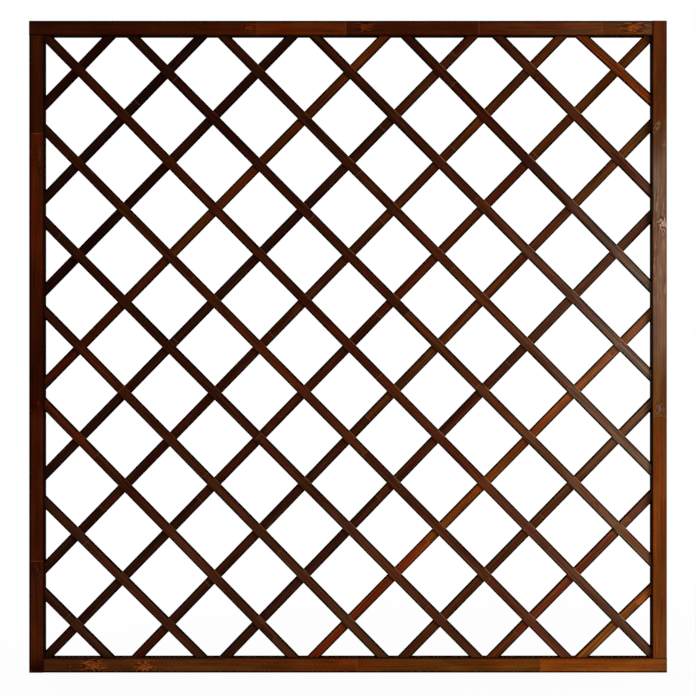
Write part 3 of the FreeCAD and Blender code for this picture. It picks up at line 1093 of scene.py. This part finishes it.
def crossing_places(timber, others):
    """Places along a lath where the other layer's laths cross it."""
    return [
        (other.origin - timber.origin).dot(other.across) / timber.along.dot(other.across)
        for other in others
    ]


def make_lath(name, material, timber, width, crossings, seat):
    """One lath, a little uneven, jointed and trimmed to its seat."""
    low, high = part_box(name)
    shape = new_shape()
    outline = box_outline(-width / 2, width / 2, low.y, high.y, LATH_EDGE_RADIUS,
                          (LATH_SIDE_STEPS, FACE_STEPS) * 2)
    dress = LathDress(width, low.y, high.y, -1 if "front" in name else 1, crossings)
    rims = [place + side * (width / 2 + reach) for place in crossings
            for side in (-1, 1) for reach in CROSSING_REACH if 0 < place < timber.length]
    rows = stations(timber, -width, timber.length + width, LATH_STEP, rims)
    close_ends(shape, sweep(shape, timber, outline, rows, dress))
    trim_to_seat(shape, *seat)
    finish_piece(name + "_wood", shape, material, name, timber)


def make_laths(material):
    """Both layers of laths, trimmed to the space that the CAD laths fill."""
    names = sorted(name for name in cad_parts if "_lath_" in name)
    seat = span([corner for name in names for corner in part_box(name)])
    laths = {}
    for name in names:
        tones = FRONT_TONES if "front" in name else REAR_TONES
        own = tones.get(int(name[-2:]), "brown brown").split()
        laths[name] = lath_timber(name, [srgb(*TONES[tone]) for tone in own])
    for name, (timber, width) in laths.items():
        others = [laths[other][0] for other in names if other[:4] != name[:4]]
        make_lath(name, material, timber, width, crossing_places(timber, others), seat)


# Fastenings


def loose_boxes(name):
    """Lowest and highest corners of each solid in a CAD node."""
    shape = node_shape(name)
    left = dict.fromkeys(shape.verts)
    boxes = []
    while left:
        group = [next(iter(left))]
        for vert in group:
            group += [end for edge in vert.link_edges for end in edge.verts
                      if end in left and end not in group]
        for vert in group:
            left.pop(vert, None)
        boxes.append(span([vert.co for vert in group]))
    shape.free()
    return boxes


def wire_path(low, high):
    """Centre line of a staple: up one leg, over the rounded crown, down."""
    half = (high.x - low.x) / 2 - WIRE / 2
    crown = high.y - WIRE / 2
    points = [(-half, low.y), (-half, crown - WIRE_BEND)]
    for step in range(1, BEND_STEPS + 1):
        turn = math.pi / 2 * step / BEND_STEPS
        aside, down = 1 - math.cos(turn), 1 - math.sin(turn)
        points.append((-half + WIRE_BEND * aside, crown - WIRE_BEND * down))
    points += [(0, crown)] + [(-x, y) for x, y in reversed(points)]
    middle = (low.x + high.x) / 2
    return [Vector((middle + x, y, (low.z + high.z) / 2)) for x, y in points]


def add_wire(shape, path):
    """A drawn wire along a path in a level plane."""
    turns = [math.tau / WIRE_SEGMENTS * (step + 0.5) for step in range(WIRE_SEGMENTS)]
    sections = []
    for before, here, after in zip(path[:1] + path, path, path[1:] + path[-1:]):
        way = (after - before).normalized()
        side = Vector((way.y, -way.x, 0))
        outs = [side * math.cos(turn) + Vector((0, 0, math.sin(turn))) for turn in turns]
        sections.append([here + out * WIRE / 2 for out in outs])
    add_tube(shape, sections)


def make_staples(material):
    """A staple in the place of each CAD solid of their node."""
    shape = bmesh.new()
    for low, high in loose_boxes("crossing_staples"):
        add_wire(shape, wire_path(low, high))
    finish_piece("crossing_staples_wire", shape, material, "crossing_staples")


def screw_sections():
    """Sections from the drive's floor, over the head's rim and down to the point, as
    (depth, radius, kind). In the drive, the radius is a share of its own.
    """
    cone = SCREW_HEAD_RADIUS - SCREW_RADIUS
    rows = [
        (DRIVE_DEPTH, 0.8, "lobes"), (DRIVE_DEPTH - 0.2 * MM, 1, "lobes"), (0, 1, "lobes"),
        (0, SCREW_HEAD_RADIUS * 0.94, "round"), (0.12 * MM, SCREW_HEAD_RADIUS, "round"),
        (SCREW_HEAD_RIM, SCREW_HEAD_RADIUS, "round"),
        (SCREW_HEAD_RIM + cone, SCREW_CORE, "round"),
    ]
    depth = rows[-1][0]
    while depth < SCREW_LENGTH - 0.5 * MM:
        depth += THREAD_PITCH / 4
        taper = min(1, max(0.08, (SCREW_LENGTH - depth) / SCREW_POINT))
        rows.append((depth, SCREW_CORE * taper, "thread" if depth > THREAD_START else "round"))
    return rows


def screw_radius(radius, kind, depth, turn):
    """The radius at an angle: six lobes in the drive, a thin ridge on the thread."""
    if kind == "lobes":
        return radius * (DRIVE_RADIUS + DRIVE_LOBE * math.cos(6 * turn))
    if kind == "thread":
        phase = (depth / THREAD_PITCH + turn / math.tau) % 1
        return radius * (1 + THREAD_HEIGHT * max(0, 1 - abs(phase - 0.5) * 5))
    return radius


def add_screw(shape, timber):
    """A countersunk wood screw with a six-lobed drive and a cut thread."""
    turns = [math.tau * step / SCREW_SEGMENTS for step in range(SCREW_SEGMENTS)]
    top = SCREW_RECESS + BORE_RIM
    sections = []
    for depth, radius, kind in screw_sections():
        spokes = [(turn, screw_radius(radius, kind, depth, turn)) for turn in turns]
        sections.append([
            timber.place(SCREW_AXIS + own * math.cos(turn), top + depth, own * math.sin(turn))
            for turn, own in spokes
        ])
    add_tube(shape, sections)


def make_screws(material):
    """A screw in each corner, through the timber that runs past."""
    shape = bmesh.new()
    for name in MEMBERS:
        add_screw(shape, member_timber(name)[0])
    finish_piece("corner_screws_steel", shape, material, "corner_screws")


# Camera, light and floor

CAMERA_DISTANCE = 4.75
SENSOR = 36

# Pixels: the picture's side, the panel's width, and how far the panel is above the middle
PICTURE_SIDE, PANEL_PIXELS, PANEL_RAISED = 696, 638.2, 1.3

# Each lamp's place, the point that it faces, its two sides and its power
LAMPS = {
    "key": ((2.5, -2.1, 0.75), (0.2, 0, 0.9), (1.3, 1.3), 66),
    "fill": ((1.5, -3.2, 1.4), (0.9, 0, 1.1), (0.7, 1.2), 10),
    "back": ((-2.4, 2.6, 1.7), (0.1, 0, 0.9), (1.6, 1.6), 80),
    "top": ((0, 0.9, 4.4), (0, 0, 1.8), (1.5, 1.5), 34),
}

AMBIENT = 0.22
WHITE = 1, 1, 1
FLOOR_COLOUR = 0.9, 0.9, 0.9
FLOOR_SIDE = 16

# Near the panel the floor glows a little less than white, so that its shadow shows. It
# rises to white from the first distance to the second.
FLOOR_GLOW = 0.95
FLOOR_RISE = 0.7, 2.2


def add_camera():
    """Square to the panel, whose width fills its share of the picture."""
    low, high = cad_box
    pixel = (high[0] - low[0]) / PANEL_PIXELS
    data = bpy.data.cameras.new("camera")
    data.sensor_width = SENSOR
    data.lens = SENSOR * CAMERA_DISTANCE / pixel / PICTURE_SIDE
    camera = add_object("camera", data)
    middle_x, middle_z = (low[0] + high[0]) / 2, (low[2] + high[2]) / 2
    camera.location = (middle_x, low[1] - CAMERA_DISTANCE, middle_z - PANEL_RAISED * pixel)
    camera.rotation_euler = (math.radians(90), 0, 0)
    bpy.context.scene.camera = camera


def add_lamp(name, place, aim, sides, power):
    """A soft rectangular lamp that faces a point."""
    data = bpy.data.lights.new(name, "AREA")
    data.shape = "RECTANGLE"
    data.size, data.size_y = sides
    data.energy = power
    lamp = add_object(name, data)
    lamp.location = place
    way = Vector(aim) - Vector(place)
    lamp.rotation_euler = way.to_track_quat("-Z", "Y").to_euler()


def background_share(nodes):
    """1 for rays that see the background: from the camera, by gloss or through glass."""
    path = nodes.node("LightPath").outputs
    share = path["Is Camera Ray"]
    for name in ("Is Glossy Ray", "Is Transmission Ray"):
        share = nodes.math("MAXIMUM", share, path[name])
    return share


def set_world():
    """White where it is seen, and a weaker even light on everything."""
    world = bpy.data.worlds.new("studio")
    bpy.context.scene.world = world
    world.use_nodes = True
    nodes = Nodes(world.node_tree)
    nodes.tree.nodes.clear()
    even = nodes.node("Background", {"Color": WHITE, "Strength": AMBIENT}).outputs[0]
    seen = nodes.node("Background", {"Color": WHITE}).outputs[0]
    either = nodes.node("MixShader", {0: background_share(nodes), 1: even, 2: seen})
    nodes.node("OutputWorld", {0: either.outputs[0]})


def floor_material():
    """Matt where it is lit, and white where it is seen, but for the panel's shadow."""
    material, nodes = new_material("pale_floor")
    nodes.tree.nodes.clear()
    distance = nodes.length(nodes.node("TexCoord").outputs["Object"])
    values = enumerate((distance, *FLOOR_RISE, FLOOR_GLOW, 1))
    glowing = nodes.node("MapRange", values).outputs[0]
    share = nodes.times(background_share(nodes), glowing)
    matt = nodes.node("BsdfDiffuse", {"Color": FLOOR_COLOUR}).outputs[0]
    glow = nodes.node("Emission", {"Strength": 1}).outputs[0]
    either = nodes.node("MixShader", {0: share, 1: matt, 2: glow})
    nodes.node("OutputMaterial", {0: either.outputs[0]})
    return material


def add_floor():
    """A pale floor that keeps the panel's shadow."""
    half = FLOOR_SIDE / 2
    corners = [(-half, -half, 0), (half, -half, 0), (half, half, 0), (-half, half, 0)]
    mesh = bpy.data.meshes.new("floor")
    mesh.from_pydata(corners, [], [(0, 1, 2, 3)])
    mesh.materials.append(floor_material())
    add_object("floor", mesh)


def main():
    """Dress every CAD node, then set up the studio."""
    bpy.context.scene.view_settings.view_transform = "Standard"
    frame_wood = wood_material("frame_wood", 3.2 * MM, 0.22, 0.2, 2.6)
    lath_wood = wood_material("lath_wood", 2.6 * MM, 0.34, 0.36, 1.7)
    for name in MEMBERS:
        make_member(name, frame_wood)
    make_laths(lath_wood)
    make_staples(metal_material("galvanised_wire", srgb(176, 176, 172), 0.42, 900))
    make_screws(metal_material("zinc_steel", srgb(196, 190, 168), 0.35, 700))
    add_floor()
    set_world()
    add_camera()
    for name, settings in LAMPS.items():
        add_lamp(name, *settings)


main()
